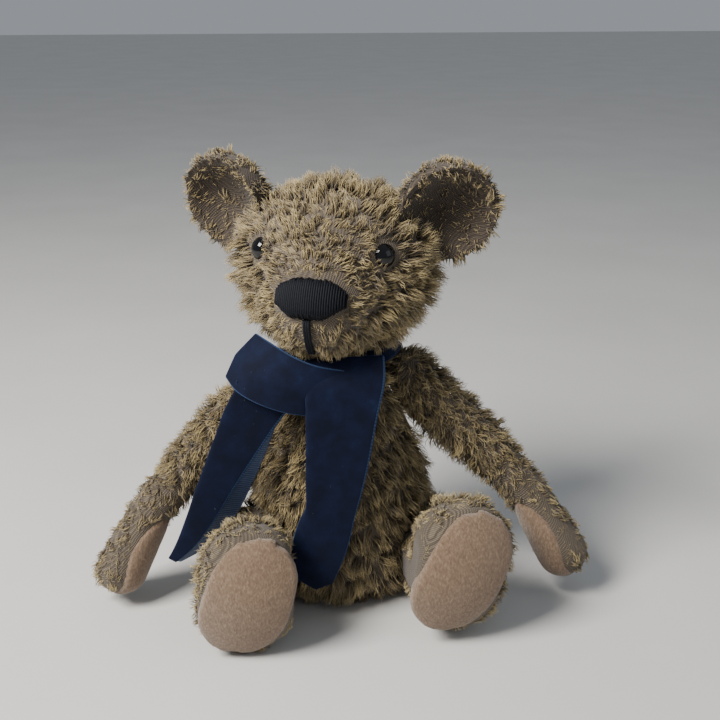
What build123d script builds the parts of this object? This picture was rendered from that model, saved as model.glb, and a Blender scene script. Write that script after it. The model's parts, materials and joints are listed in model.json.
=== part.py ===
from build123d import *
import math
import os

# A small jointed mohair bear, sitting on the floor plane and facing -Y, +Z up, in millimetres.
# Left and right are the bear's own, so its left side is +X. Each limb and the head turn on a disc
# joint: a card disc and a washer on both sides of the two covers, held by a split cotter pin.

# ---- cloth and fits -------------------------------------------------------------------------
cloth = 1.0             # mohair cloth, backing and crushed pile together
pad_cloth = 1.0         # felt of the paw pads and soles
fill_gap = 0.25         # stuffing to cover
seat_gap = 0.1          # between pieces that lie on each other
joint_gap = 0.3         # between the two covers at a joint

# ---- torso ----------------------------------------------------------------------------------
torso_radius = 21.0
torso_height = 65.0
base_radius = 13.0      # the flattened seat
neck_radius = 9.2       # top of the torso, where the head sits
slope_share = 0.64      # shares of the radius and the height where the neck's slope begins
slope_height = 0.83

# ---- joint planes: each is cut flat on the torso and on the limb -----------------------------
shoulder_x = slope_share * torso_radius - 0.94      # where the joint axis meets the plane
shoulder_z = slope_height * torso_height - 0.95
shoulder_tilt = 25.0    # the plane's outward normal looks up by this much
hip_radius = 9.5        # top of the thigh
hip_x = torso_radius - 7.5
hip_z = hip_radius + 0.5
hip_splay = 3.0         # legs point this much outwards
hip_dimple = 1.5        # room in the torso's side round the thigh
leg_up_limit = 20.0     # highest and lowest that a leg turns from level
leg_down_limit = -95.0

# ---- joint hardware -------------------------------------------------------------------------
pin_radius = 0.6
pin_wire = 0.4          # radius of the pin's eye and curled ends
pin_curl = 1.2          # radius of the curls and of the eye
pin_play = 0.05         # running clearance of the pin in its holes
disc_thickness = 1.0
washer_thickness = 0.4
washer_radius = 2.6
arm_disc = 4.0          # disc radii
leg_disc = 5.6
neck_disc = 6.0
cavity_margin = 0.3     # room round the hardware in the stuffing

# ---- arms: radii at the shoulder, elbow, wrist and paw, and how far out each lies -------------
arm_radii = (6.5, 5.6, 5.2, 6.3)
arm_reach = (0.0, 22.0, 42.0, 58.6)
arm_lean = (0.0, 9.5, 15.5, 16.8)
arm_seat = 4.6          # shoulder centre to the cut
left_arm_swing = 17.0   # forward of straight down
right_arm_swing = 9.0
paw_pad_length = 24.0
paw_pad_width = 9.0
paw_pad_turn = 40.0     # from facing inwards towards facing forwards

# ---- legs -----------------------------------------------------------------------------------
hip_seat = 7.2          # hip centre to the cut
ankle_radius = 8.3
ankle_reach = 27.0
foot_radius = 11.4
foot_half_length = 4.8  # foot centre to the heel's or the toe's centre
foot_reach = 33.8
heel_gap = 0.2          # heel to the floor, before the leg's lift
foot_rise = heel_gap + foot_half_length + foot_radius - hip_z
foot_lean = 2.2         # foot centre further out than the hip
sole_depth = 3.0        # foot centre to the sole seam
sole_dome = 4.2         # how far the stuffed sole stands out
sole_curve = 32.0       # radius of the sole's dome
left_leg_lift = 4.0
right_leg_lift = 0.0
left_foot_roll = 14.0   # toes lean to +X
right_foot_roll = 8.0

# ---- head -----------------------------------------------------------------------------------
skull_radius = 20.5
skull_sink = 1.5        # how far the skull's round is cut away where it sits on the neck
skull_centre = (0.0, -2.0, torso_height + skull_radius - skull_sink)
muzzle_radius = 11.0
muzzle_ahead = skull_radius - 5.5   # muzzle centre from the skull's centre
muzzle_drop = 5.0
muzzle_centre = (0.0, skull_centre[1] - muzzle_ahead, skull_centre[2] - muzzle_drop)
head_turn = -20.0       # the head looks to its own right
ear_radius = 11.8
ear_curve = 16.0        # outer radius of the cupped ear
ear_thickness = 3.0
ear_stand = 9.6         # ear centre beyond the skull's surface
ear_rise = 32.1         # and its direction from the skull's centre, upwards and backwards
ear_back = 9.0
ear_splay = 25.0        # the cup looks this much outwards
ear_lean = 32.0         # the ear stands this much out from upright
eye_radius = 3.0
eye_out = 13.9
eye_up = 7.0
eye_proud = 2.3         # how far the glass stands out of the cloth
eye_stem = 0.4
eye_stem_spare = 1.0    # stem between the cloth and the loop
eye_loop = 1.1
nose_width = 15.6
nose_foot = 8.6         # width of its lower edge
nose_height = 9.4
nose_corner = 1.9
nose_thread = 0.8
nose_pitch = 25.0       # the nose sits above the muzzle's own line
mouth_length = 8.0
mouth_width = 1.5
mouth_thread = 0.4

# ---- shot bag -------------------------------------------------------------------------------
bag_radius = 5.6
bag_length = 24.0

# ---- ribbon ---------------------------------------------------------------------------------
ribbon = 1.2            # thickness of the doubled velvet
tail_gap = 0.3          # between the layers, and to the neck
collar_drop = 2.8       # lower face of the band below the top of the torso
collar_low = torso_height - collar_drop
neck_slope = (slope_share * torso_radius - neck_radius) / ((1 - slope_height) * torso_height)
collar_inner = neck_radius + neck_slope * collar_drop + tail_gap
collar_outer = torso_radius - 2.4
# outlines of the hanging ribbon: places across, and how far below the top of the torso
wrap_outline = ((-1.0, 1.5), (-19.0, 1.5), (-24.5, 5.0), (-25.5, 9.0), (-12.0, 17.5), (-1.0, 14.5))
left_tail_outline = ((-10.5, 1.5), (12.5, 1.5), (11.0, 17.0), (8.5, 35.0), (4.0, 53.0), (1.0, 57.5),
                     (-8.0, 57.5), (-12.5, 45.0), (-11.0, 25.0))
right_tail_outline = ((-13.0, 10.0), (-25.0, 8.0), (-31.0, 21.0), (-36.5, 41.0), (-41.5, 51.5),
                      (-40.0, 53.0), (-31.0, 41.0), (-21.5, 25.0))
left_tail_front = -torso_radius - 1.4   # inner face at floor level
left_tail_slope = -1.5      # degrees forward as it rises
right_tail_slope = 4.5
right_tail_front = torso_height * math.sin(math.radians(right_tail_slope)) - collar_outer + 0.5

far = 400.0             # larger than the bear, for cuts
facet = 0.01            # how finely the bear is measured to find its middle
drill = 40.0            # longer than any hole or patch is deep
open_sole = -20.0       # sets a sole's cut clear of the foot


# ---- helpers --------------------------------------------------------------------------------
def tapered_capsule(start, start_radius, end, end_radius):
    """Two round ends joined by the cone that touches both, turned about the line between them."""
    length = (Vector(*end) - Vector(*start)).length
    lean = math.asin((start_radius - end_radius) / length)

    def rim(centre, radius, angle):
        return (radius * math.cos(angle), centre + radius * math.sin(angle))

    low = ThreePointArc(rim(0, start_radius, -math.pi / 2), rim(0, start_radius, (lean - math.pi / 2) / 2),
                        rim(0, start_radius, lean))
    side = Line(rim(0, start_radius, lean), rim(length, end_radius, lean))
    top = ThreePointArc(rim(length, end_radius, lean), rim(length, end_radius, (lean + math.pi / 2) / 2),
                        rim(length, end_radius, math.pi / 2))
    spine = Line(rim(length, end_radius, math.pi / 2), rim(0, start_radius, -math.pi / 2))
    face = make_face(Plane.XZ * Curve([low, side, top, spine]))
    solid = revolve(face, axis=Axis.Z)
    return Plane(origin=start, z_dir=Vector(*end) - Vector(*start)) * solid


def beyond(origin, normal):
    """Everything on the side of a plane that its normal looks to."""
    return Plane(origin=origin, z_dir=normal) * Pos(0, 0, far / 2) * Box(far, far, far)


def rod(origin, direction, radius, low, high):
    """A cylinder along a line, between two distances from its origin."""
    return Plane(origin=origin, z_dir=direction) * Pos(0, 0, (low + high) / 2) * Cylinder(radius, high - low)


def hoop(radius, wire):
    """A ring standing in the XZ plane."""
    return Rot(90, 0, 0) * Torus(radius, wire)


def slab(outline, thickness):
    """An upright sheet hanging from the neck, with its inner face at Y 0, that grows to -Y."""
    corners = [(across, torso_height - drop) for across, drop in outline]
    face = make_face(Plane.XZ * Polyline(*corners, close=True))
    return extrude(face, amount=thickness, dir=(0, -1, 0))


# ---- one disc joint --------------------------------------------------------------------------
def disc_stack(centre, outward, radius, side):
    """Card disc and washer on one side of a joint: side 1 in the limb, -1 in the torso."""
    start = joint_gap / 2 + cloth + seat_gap
    mid = start + disc_thickness + seat_gap
    along = Vector(*outward) * side
    hole = rod(centre, along, pin_radius + pin_play, 0, drill)
    disc = rod(centre, along, radius, start, start + disc_thickness) - hole
    washer = rod(centre, along, washer_radius, mid, mid + washer_thickness) - hole
    return disc, washer


def hardware_depth():
    """From the middle of the joint's gap to the outer face of a washer."""
    return joint_gap / 2 + cloth + 2 * seat_gap + disc_thickness + washer_thickness


def cotter_pin(centre, outward):
    """A split pin: an eye in the limb, a shank through both covers and two curled ends in the torso."""
    eye_at = hardware_depth() + seat_gap + pin_curl + pin_wire
    split_at = -hardware_depth() - seat_gap - pin_radius
    frame = Plane(origin=centre, z_dir=outward)
    shank = Pos(0, 0, (eye_at - pin_curl + split_at) / 2) * Cylinder(pin_radius, eye_at - pin_curl - split_at)
    pin = shank + Pos(0, 0, eye_at) * hoop(pin_curl, pin_wire)
    curls = Pos(pin_curl, 0, split_at) * hoop(pin_curl, pin_wire)
    curls += Pos(-pin_curl, 0, split_at) * hoop(pin_curl, pin_wire)
    pin += curls & (Pos(0, 0, split_at - far / 2) * Box(far, far, far))
    return frame * pin


def hardware_room(centre, outward, radius, side):
    """The hollow that the disc, the washer and the pin's end turn in."""
    along = Vector(*outward) * side
    deep = hardware_depth() + seat_gap + 2 * (pin_curl + pin_wire) + cavity_margin
    wide = 2 * pin_curl + pin_wire + 2 * cavity_margin
    return rod(centre, along, radius + cavity_margin, 0, hardware_depth() + seat_gap) + rod(
        centre, along, wide, 0, deep
    )


def pin_hole(centre, outward):
    return rod(centre, outward, pin_radius + pin_play, -hardware_depth(), hardware_depth())


# ---- joints: middle of the gap and the outward direction --------------------------------------
def shoulder_normal(side):
    tilt = math.radians(shoulder_tilt)
    return (side * math.cos(tilt), 0.0, math.sin(tilt))


def hip_normal(side):
    splay = math.radians(hip_splay)
    return (side * math.cos(splay), math.sin(splay), 0.0)


def moved(point, *steps):
    """A point moved by (distance, direction) steps."""
    return tuple(Vector(*point) + sum((Vector(*d) * k for k, d in steps), Vector(0, 0, 0)))


shoulder = {side: (side * shoulder_x, 0.0, shoulder_z) for side in (1, -1)}
hip = {side: (side * hip_x, 0.0, hip_z) for side in (1, -1)}
neck = (0.0, 0.0, torso_height + joint_gap / 2)
up = (0.0, 0.0, 1.0)


# ---- torso ----------------------------------------------------------------------------------
def torso_form(inset):
    """The pear of the body, drawn in by inset, with its flats at the seat, neck, shoulders and hips."""
    def at(radius_share, height_share):
        height = inset + height_share * (torso_height - 2 * inset)
        return (radius_share * torso_radius - inset, height)

    low = (base_radius - inset, inset)
    high = (neck_radius - inset / 2, torso_height - inset)
    skin = Spline(low, at(0.87, 0.05), at(0.99, 0.18), at(0.985, 0.40), at(0.86, 0.62),
                  at(slope_share, slope_height), high)
    rest = Polyline(high, (0, high[1]), (0, low[1]), low)
    form = revolve(make_face(Plane.XZ * Curve([skin, rest])), axis=Axis.Z)
    for side in (1, -1):
        normal = shoulder_normal(side)
        form -= beyond(moved(shoulder[side], (-joint_gap / 2 - inset, normal)), normal)
        form -= hip_pocket(side, inset)
    return form


def hip_pocket(side, inset):
    """The flat that a thigh lies on, and the way that it needs from its lowest to its highest turn."""
    normal = hip_normal(side)
    floor = moved(hip[side], (-joint_gap / 2 - inset, normal))
    wide = hip_radius + hip_dimple + inset
    pocket = rod(floor, normal, wide, 0, far)
    splay = math.radians(hip_splay)
    ahead = Vector(side * math.sin(splay), -math.cos(splay), 0)
    for turn in (leg_up_limit, 0, leg_down_limit):
        reach = ahead * math.cos(math.radians(turn)) + Vector(0, 0, 1) * math.sin(math.radians(turn))
        way = Pos(far / 2, 0, far / 2) * Box(far, 2 * wide, far)
        pocket += Plane(origin=floor, x_dir=reach, z_dir=normal) * way
    return pocket


bag_rest = cloth + fill_gap + cavity_margin


def make_torso():
    cover = torso_form(0) - torso_form(cloth)
    filling = torso_form(cloth + fill_gap)
    bag_z = bag_rest + bag_radius
    half = bag_length / 2 - bag_radius
    bag = tapered_capsule((0, half, bag_z), bag_radius, (0, -half, bag_z), bag_radius)
    room = tapered_capsule((0, half, bag_z), bag_radius + fill_gap, (0, -half, bag_z), bag_radius + fill_gap)
    filling -= room
    pieces = {}
    for name, centre, normal, radius in torso_joints():
        cover -= pin_hole(centre, normal)
        filling -= hardware_room(centre, normal, radius, -1)
        disc, washer = disc_stack(centre, normal, radius, -1)
        pieces[f"torso_{name}_disc"] = disc
        pieces[f"torso_{name}_washer"] = washer
    return {"torso_cover": cover, "torso_stuffing": filling, "shot_bag": bag, **pieces}


def torso_joints():
    yield "neck", neck, up, neck_disc
    for name, side in (("left", 1), ("right", -1)):
        yield f"{name}_shoulder", shoulder[side], shoulder_normal(side), arm_disc
        yield f"{name}_hip", hip[side], hip_normal(side), leg_disc


# ---- arms -----------------------------------------------------------------------------------
def arm_points(side):
    """Centres of the shoulder, elbow, wrist and paw at rest."""
    swing = math.radians(left_arm_swing if side > 0 else right_arm_swing)
    tilt = math.radians(shoulder_tilt)
    out = shoulder_normal(side)
    down = (side * math.sin(tilt), 0.0, -math.cos(tilt))
    reach = tuple(Vector(*down) * math.cos(swing) + Vector(0, -1, 0) * math.sin(swing))
    root = moved(shoulder[side], (joint_gap / 2 + arm_seat, out))
    return [moved(root, (far_out, reach), (lean, out)) for far_out, lean in zip(arm_reach, arm_lean)], reach


def arm_form(side, inset):
    points, _ = arm_points(side)
    radii = [radius - inset for radius in arm_radii]
    form = tapered_capsule(points[0], radii[0], points[1], radii[1])
    for k in (1, 2):
        form += tapered_capsule(points[k], radii[k], points[k + 1], radii[k + 1])
    out = Vector(*shoulder_normal(side))
    return form - beyond(moved(shoulder[side], (joint_gap / 2 + inset, out)), -out)


def paw_prism(side, margin):
    """The paw pad's outline, a long oval, pushed through the palm side of the paw."""
    points, reach = arm_points(side)
    turn = math.radians(paw_pad_turn)
    inward = Vector(*shoulder_normal(side)) * -1
    palm = Vector(*points[3]) - Vector(*points[2])
    forward = palm.cross(inward).normalized() * -side
    facing = inward * math.cos(turn) + forward * math.sin(turn)
    facing = (facing - palm * (facing.dot(palm) / palm.dot(palm))).normalized()
    middle = Vector(*points[3]) - palm.normalized() * (paw_pad_length / 2 - arm_radii[3])
    frame = Plane(origin=middle, x_dir=palm, z_dir=facing)
    oval = Ellipse(paw_pad_length / 2 - margin, paw_pad_width / 2 - margin)
    return frame * extrude(oval, amount=2 * arm_radii[3])


def make_arm(side, name):
    shell = arm_form(side, 0) - arm_form(side, cloth)
    centre, normal = shoulder[side], shoulder_normal(side)
    disc, washer = disc_stack(centre, normal, arm_disc, 1)
    return {
        f"{name}_arm_cover": shell - pin_hole(centre, normal) - paw_prism(side, 0),
        f"{name}_paw_pad": shell & paw_prism(side, seat_gap),
        f"{name}_arm_stuffing": arm_form(side, cloth + fill_gap) - hardware_room(centre, normal, arm_disc, 1),
        f"{name}_arm_disc": disc,
        f"{name}_arm_washer": washer,
        f"{name}_arm_pin": cotter_pin(centre, normal),
    }


# ---- legs -----------------------------------------------------------------------------------
def leg_frame(side):
    """Hip centre, the leg's own direction, its upward side and its outward side at rest."""
    lift = math.radians(left_leg_lift if side > 0 else right_leg_lift)
    splay = math.radians(hip_splay)
    out = Vector(*hip_normal(side))
    ahead = Vector(side * math.sin(splay), -math.cos(splay), 0)
    reach = ahead * math.cos(lift) + Vector(0, 0, 1) * math.sin(lift)
    rise = Vector(0, 0, 1) * math.cos(lift) - ahead * math.sin(lift)
    centre = Vector(*hip[side]) + out * (joint_gap / 2 + hip_seat)
    return centre, reach, rise, out


def foot_frame(side):
    """Middle of the foot and the plane of its sole: local Y runs from heel to toe, Z out of the sole."""
    centre, reach, rise, out = leg_frame(side)
    roll = math.radians(left_foot_roll if side > 0 else right_foot_roll)
    toe = rise * math.cos(roll) + out * (side * math.sin(roll))
    middle = centre + reach * foot_reach + rise * foot_rise + out * foot_lean
    return Plane(origin=middle, x_dir=toe.cross(reach), z_dir=reach)


def leg_form(side, inset, sole_inset):
    centre, reach, _, out = leg_frame(side)
    foot = foot_frame(side)
    heel = foot.from_local_coords((0, -foot_half_length, 0))
    toe = foot.from_local_coords((0, foot_half_length, 0))
    ankle = centre + reach * ankle_reach
    form = tapered_capsule(tuple(centre), hip_radius - inset, tuple(ankle), ankle_radius - inset)
    form += tapered_capsule(tuple(heel), foot_radius - inset, tuple(toe), foot_radius - inset)
    form -= beyond(moved(hip[side], (joint_gap / 2 + inset, out)), -out)
    return form - beyond(foot.from_local_coords((0, 0, sole_depth - sole_inset)), reach)


def sole_cap(side, inset, low):
    """The stuffed sole's dome over the outline of the sole seam, from a level beyond the foot's middle."""
    seam = math.sqrt(foot_radius**2 - sole_depth**2) - inset
    outline = Rot(0, 0, 90) * SlotCenterToCenter(2 * foot_half_length, 2 * seam)
    column = Pos(0, 0, low) * extrude(outline, amount=2 * sole_dome)
    ball = Pos(0, 0, sole_depth + sole_dome - sole_curve) * Sphere(sole_curve - inset)
    return foot_frame(side) * (column & ball)


def make_leg(side, name):
    centre, normal = hip[side], hip_normal(side)
    shell = leg_form(side, 0, 0) - leg_form(side, cloth, open_sole) - pin_hole(centre, normal)
    low = sole_depth + seat_gap
    hollow = low - pad_cloth
    filling = leg_form(side, cloth + fill_gap, 0)
    disc, washer = disc_stack(centre, normal, leg_disc, 1)
    return {
        f"{name}_leg_cover": shell,
        f"{name}_sole_pad": sole_cap(side, 0, low) - sole_cap(side, pad_cloth, hollow),
        f"{name}_leg_stuffing": filling - hardware_room(centre, normal, leg_disc, 1),
        f"{name}_leg_disc": disc,
        f"{name}_leg_washer": washer,
        f"{name}_leg_pin": cotter_pin(centre, normal),
    }


# ---- head: built looking straight ahead, then turned on the neck ------------------------------
def head_form(inset):
    form = tapered_capsule(skull_centre, skull_radius - inset, muzzle_centre, muzzle_radius - inset)
    return form - beyond((0, 0, torso_height + joint_gap + inset), (0, 0, -1))


def make_ear(side):
    """A thick shallow cup, trimmed where it meets the head."""
    level = math.cos(math.radians(ear_rise))
    away = Vector(side * level * math.cos(math.radians(ear_back)), level * math.sin(math.radians(ear_back)),
                  math.sin(math.radians(ear_rise)))
    centre = Vector(*skull_centre) + away * (skull_radius + ear_stand)
    frame = Pos(*centre) * Rot(0, side * ear_lean, side * ear_splay)
    cup = Sphere(ear_curve) - Sphere(ear_curve - ear_thickness)
    cup = cup & (Rot(90, 0, 0) * Pos(0, 0, -far / 2) * Cylinder(ear_radius, far))
    return frame * Pos(0, -ear_curve + ear_thickness, 0) * cup - head_form(-seat_gap)


def eye_centre(side):
    depth = math.sqrt((skull_radius - eye_radius + eye_proud) ** 2 - eye_out**2 - eye_up**2)
    return Vector(*skull_centre) + Vector(side * eye_out, -depth, eye_up)


def make_eye(side):
    """A glass dome on the cloth, and the wire stem and loop that hold it inside."""
    centre = eye_centre(side)
    inward = (Vector(*skull_centre) - centre).normalized()
    glass = Pos(*centre) * Sphere(eye_radius) - head_form(-seat_gap / 2)
    root = eye_radius - eye_proud + seat_gap
    stem_end = root + cloth + fill_gap + eye_stem_spare
    wire = rod(centre, inward, eye_stem, root, stem_end)
    wire += Plane(origin=centre + inward * (stem_end + eye_loop), z_dir=inward) * hoop(eye_loop, eye_stem)
    room = rod(centre, inward, eye_stem + pin_play, 0, stem_end)
    hollow = rod(centre, inward, eye_loop + eye_stem + cavity_margin, root + cloth,
                 stem_end + 2 * (eye_loop + eye_stem) + cavity_margin)
    return glass, wire, room, hollow


def stitch_patch(outline, pitch, thickness):
    """Thread laid over the muzzle: an outline pushed out from the muzzle's centre at a pitch."""
    angle = math.radians(pitch)
    facing = (0, -math.cos(angle), math.sin(angle))
    frame = Plane(origin=muzzle_centre, x_dir=(1, 0, 0), z_dir=facing)
    skin = head_form(-seat_gap - thickness) - head_form(-seat_gap)
    return skin & (frame * extrude(outline, amount=drill))


def make_head():
    cover = head_form(0) - head_form(cloth) - pin_hole(neck, up)
    filling = head_form(cloth + fill_gap) - hardware_room(neck, up, neck_disc, 1)
    pieces = {}
    for name, side in (("left", 1), ("right", -1)):
        glass, wire, room, hollow = make_eye(side)
        cover -= room
        filling = filling - room - hollow
        pieces[f"{name}_eye"] = glass
        pieces[f"{name}_eye_wire"] = wire
        pieces[f"{name}_ear"] = make_ear(side)
    half = nose_width / 2
    foot = nose_foot / 2
    edge = nose_height / 2
    nose = make_face(Polyline((-half, edge), (half, edge), (foot, -edge), (-foot, -edge), close=True))
    nose = fillet(nose.vertices(), nose_corner)
    pieces["nose_stitching"] = stitch_patch(nose, nose_pitch, nose_thread)
    mouth = Pos(0, -nose_height / 2 - seat_gap - mouth_length / 2) * Rectangle(mouth_width, mouth_length)
    pieces["mouth_stitch"] = stitch_patch(mouth, nose_pitch, mouth_thread)
    disc, washer = disc_stack(neck, up, neck_disc, 1)
    pieces["head_disc"] = disc
    pieces["head_washer"] = washer
    pieces["neck_pin"] = cotter_pin(neck, up)
    pieces = {"head_cover": cover, "head_stuffing": filling, **pieces}
    return {name: Rot(0, 0, head_turn) * piece for name, piece in pieces.items()}


# ---- ribbon ---------------------------------------------------------------------------------
def make_ribbon():
    """A band round the neck, one fold wrapped over its front, and two hanging tails."""
    ring = Cylinder(collar_outer, ribbon) - Cylinder(collar_inner, ribbon)
    collar = Pos(0, 0, collar_low + ribbon / 2) * ring
    wrap = Pos(0, -collar_outer - tail_gap, 0) * slab(wrap_outline, ribbon)
    left_tail = Pos(0, left_tail_front, 0) * Rot(left_tail_slope, 0, 0) * slab(left_tail_outline, ribbon)
    right_tail = Pos(0, right_tail_front, 0) * Rot(right_tail_slope, 0, 0) * slab(right_tail_outline, ribbon)
    return {"ribbon_collar": collar, "ribbon_wrap": wrap, "ribbon_left_tail": left_tail,
            "ribbon_right_tail": right_tail}


# ---- the whole bear, moved so that the middle of its box stands on the origin ------------------
bodies = {
    "torso": {**make_torso(), **make_ribbon()},
    "head": make_head(),
    "left_arm": make_arm(1, "left"),
    "right_arm": make_arm(-1, "right"),
    "left_leg": make_leg(1, "left"),
    "right_leg": make_leg(-1, "right"),
}
skin = [point for body in bodies.values() for piece in body.values() for point in piece.tessellate(facet)[0]]
shift = Vector(
    -(min(p.X for p in skin) + max(p.X for p in skin)) / 2,
    -(min(p.Y for p in skin) + max(p.Y for p in skin)) / 2,
    -min(p.Z for p in skin),
)
os.makedirs("parts", exist_ok=True)
for body in bodies.values():
    for name, piece in body.items():
        export_step(Pos(*shift) * piece, f"parts/{name}.step")
        print(name, round(piece.volume, 1))
print("moved by", tuple(round(v, 4) for v in shift))
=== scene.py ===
import json
import math
import bmesh
import bpy
import numpy as np
from mathutils import Matrix, Vector
from mathutils.bvhtree import BVHTree
from mathutils.kdtree import KDTree


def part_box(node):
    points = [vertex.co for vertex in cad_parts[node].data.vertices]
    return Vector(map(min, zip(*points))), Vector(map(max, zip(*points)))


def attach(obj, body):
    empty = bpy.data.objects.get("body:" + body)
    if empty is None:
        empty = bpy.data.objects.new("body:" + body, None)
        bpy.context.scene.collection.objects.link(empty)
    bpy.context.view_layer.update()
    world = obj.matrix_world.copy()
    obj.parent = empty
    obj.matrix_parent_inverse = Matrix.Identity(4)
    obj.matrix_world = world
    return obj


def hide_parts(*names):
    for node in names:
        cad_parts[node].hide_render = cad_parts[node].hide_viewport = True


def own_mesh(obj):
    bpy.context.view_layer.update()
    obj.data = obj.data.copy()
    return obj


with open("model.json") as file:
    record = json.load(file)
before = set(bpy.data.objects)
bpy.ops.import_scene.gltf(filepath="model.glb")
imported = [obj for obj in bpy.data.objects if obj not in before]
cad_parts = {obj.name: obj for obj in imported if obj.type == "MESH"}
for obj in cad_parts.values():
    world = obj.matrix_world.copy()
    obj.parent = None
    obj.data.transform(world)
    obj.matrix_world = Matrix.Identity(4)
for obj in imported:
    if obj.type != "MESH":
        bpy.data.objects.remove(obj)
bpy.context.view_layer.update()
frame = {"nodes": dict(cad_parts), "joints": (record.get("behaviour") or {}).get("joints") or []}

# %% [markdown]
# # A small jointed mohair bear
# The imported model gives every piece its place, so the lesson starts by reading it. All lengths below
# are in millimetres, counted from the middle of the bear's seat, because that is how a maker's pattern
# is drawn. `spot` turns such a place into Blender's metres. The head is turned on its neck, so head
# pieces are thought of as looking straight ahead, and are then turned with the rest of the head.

mm = 0.001
joints = {joint["name"]: joint for joint in frame["joints"]}
neck = Vector(joints["neck_turn"]["pos_m"])
middle = Vector((neck.x, neck.y, 0))
head_turn = Matrix.Rotation(math.radians(-20), 4, "Z")
sides = {"left": 1, "right": -1}
random = np.random.default_rng(7)


def spot(x, y, z):
    return middle + Vector((x, y, z)) * mm


print("neck joint at", [round(c / mm, 2) for c in neck], "mm")


# %% [markdown]
# ## Making an object
# Each piece is made as a bmesh or as a copy of CAD meshes, and ends up with its place in its mesh and
# its object at the origin. One helper does that for all of them.

# %% Helper: a mesh becomes a piece
def make_piece(name, mesh, material, body):
    piece = bpy.data.objects.new(name, mesh)
    bpy.context.scene.collection.objects.link(piece)
    for finish in material if isinstance(material, list) else [material]:
        mesh.materials.append(finish)
    mesh.shade_smooth()
    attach(piece, body)
    return piece


def mesh_from(bm, name):
    bmesh.ops.recalc_face_normals(bm, faces=bm.faces)
    mesh = bpy.data.meshes.new(name)
    bm.to_mesh(mesh)
    bm.free()
    return mesh


# %% [markdown]
# ## Finishes
# The materials are node trees that read Object coordinates, or the piece's own UV map where a pattern
# has to follow the cloth. A small helper keeps each tree short: it adds a node, sets its values and
# joins its inputs in one call.

# %% Helper: node trees
class Finish:
    def __init__(self, name, roughness, **sockets):
        self.material = bpy.data.materials.new(name)
        self.material.use_nodes = True
        self.tree = self.material.node_tree
        self.shader = self.tree.nodes["Principled BSDF"]
        self.shader.inputs["Roughness"].default_value = roughness
        for socket, value in sockets.items():
            self.shader.inputs[socket.replace("_", " ")].default_value = value

    def add(self, kind, inputs=(), **settings):
        node = self.tree.nodes.new("ShaderNode" + kind)
        for key, value in settings.items():
            setattr(node, key, value)
        for socket, value in dict(inputs).items():
            if hasattr(value, "is_linked"):
                self.tree.links.new(value, node.inputs[socket])
            else:
                node.inputs[socket].default_value = value
        return node

    def ramp(self, factor, stops):
        node = self.add("ValToRGB", {0: factor})
        while len(node.color_ramp.elements) < len(stops):
            node.color_ramp.elements.new(0.5)
        for element, (place, colour) in zip(node.color_ramp.elements, stops):
            element.position = place
            element.color = (*colour, 1)
        return node.outputs[0]

    def mix(self, factor, first, second, blend="MIX"):
        node = self.add("Mix", {0: factor}, data_type="RGBA", blend_type=blend)
        for slot, value in ((6, first), (7, second)):
            if hasattr(value, "is_linked"):
                self.tree.links.new(value, node.inputs[slot])
            else:
                node.inputs[slot].default_value = (*value, 1)
        return node.outputs[2]

    def math(self, operation, first, second=0.0):
        return self.add("Math", {0: first, 1: second}, operation=operation).outputs[0]

    def paint(self, colour):
        self.tree.links.new(colour, self.shader.inputs["Base Color"])

    def bump(self, height, strength, distance):
        node = self.add("Bump", {"Height": height, "Strength": strength, "Distance": distance})
        self.tree.links.new(node.outputs[0], self.shader.inputs["Normal"])

    def object_place(self):
        return self.add("TexCoord").outputs["Object"]

    def noise(self, place, grain, detail=3.0, roughness=0.5):
        values = {"Vector": place, "Scale": 1 / grain, "Detail": detail, "Roughness": roughness}
        return self.add("TexNoise", values).outputs["Fac"]


# %% [markdown]
# ### Mohair
# Mohair cloth is a brown woven backing with tufts of goat hair standing in it. The hair is dark near
# the backing and bleached at the tips, and no two tufts have the same tone. The pile is real geometry
# here, so its finish only needs to know how far along a lock a point is and which tone the lock has:
# the lock's UV map holds just that, across for the tone and up for the distance from the root.

# %% Finish: mohair pile
def pile_finish():
    finish = Finish("mohair_pile", 0.62, Sheen_Weight=0.25, Sheen_Roughness=0.4, Specular_IOR_Level=0.35)
    place = finish.add("UVMap", uv_map="OFBake").outputs[0]
    parts = finish.add("SeparateXYZ", {0: place}).outputs
    brown = finish.ramp(parts[1], [(0.0, (0.020, 0.014, 0.010)), (0.45, (0.085, 0.060, 0.033)),
                                   (1.0, (0.23, 0.172, 0.088))])
    straw = finish.ramp(parts[1], [(0.0, (0.050, 0.036, 0.020)), (0.4, (0.27, 0.205, 0.098)),
                                   (1.0, (0.74, 0.58, 0.28))])
    finish.paint(finish.mix(parts[0], brown, straw))
    return finish.material


mohair_pile = pile_finish()

# %% [markdown]
# The backing shows where the pile is worn thin: a plain weave of about 0.7 mm, greyer than the hair.
# Two crossed rows of ripples, multiplied, give the over-and-under of the weave and its bump.

# %% Finish: mohair backing
thread_pitch = 0.72 * mm


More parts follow.
